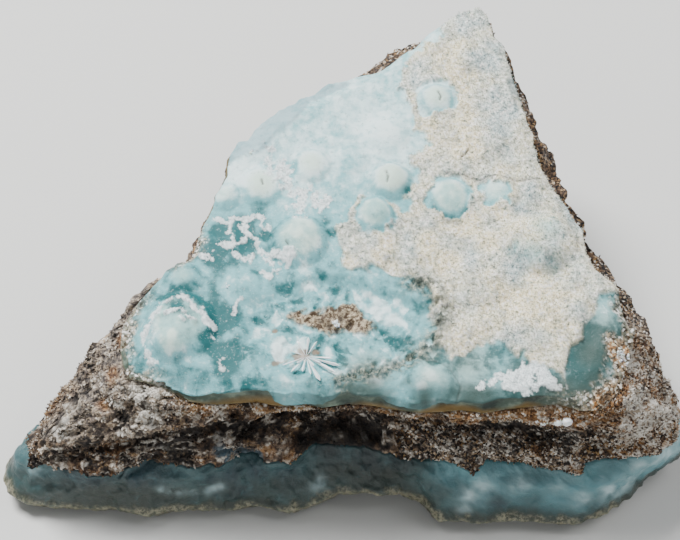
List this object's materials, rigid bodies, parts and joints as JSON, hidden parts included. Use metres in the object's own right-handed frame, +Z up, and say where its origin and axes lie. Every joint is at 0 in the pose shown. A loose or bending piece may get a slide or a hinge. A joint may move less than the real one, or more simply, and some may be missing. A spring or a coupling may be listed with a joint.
{
  "type": "aurichalcite specimen",
  "caption": "Triangular hand specimen of blue aurichalcite crust on a brown limonite matrix, with a broken blue crust beneath; it lies on its rounded underside.",
  "frame": {"origin": "on the surface it rests on, under the middle of the specimen's bounding box", "axes": "+X along the long broken front edge to the right as seen from the front, the broken section faces -Y, +Z up, away from the resting face"},
  "size_m": [0.1002, 0.071, 0.0374],
  "materials": {
    "pale_crust": "waxy botryoidal crust with a granular cream druse",
    "limonite": "rough broken rock, earthy brown with white crumbs",
    "deep_crust": "translucent waxy blue, broken surface"
  },
  "bodies": {
    "root": {"upper_crust": "pale_crust", "matrix": "limonite", "lower_crust": "deep_crust"}
  },
  "joints": []
}
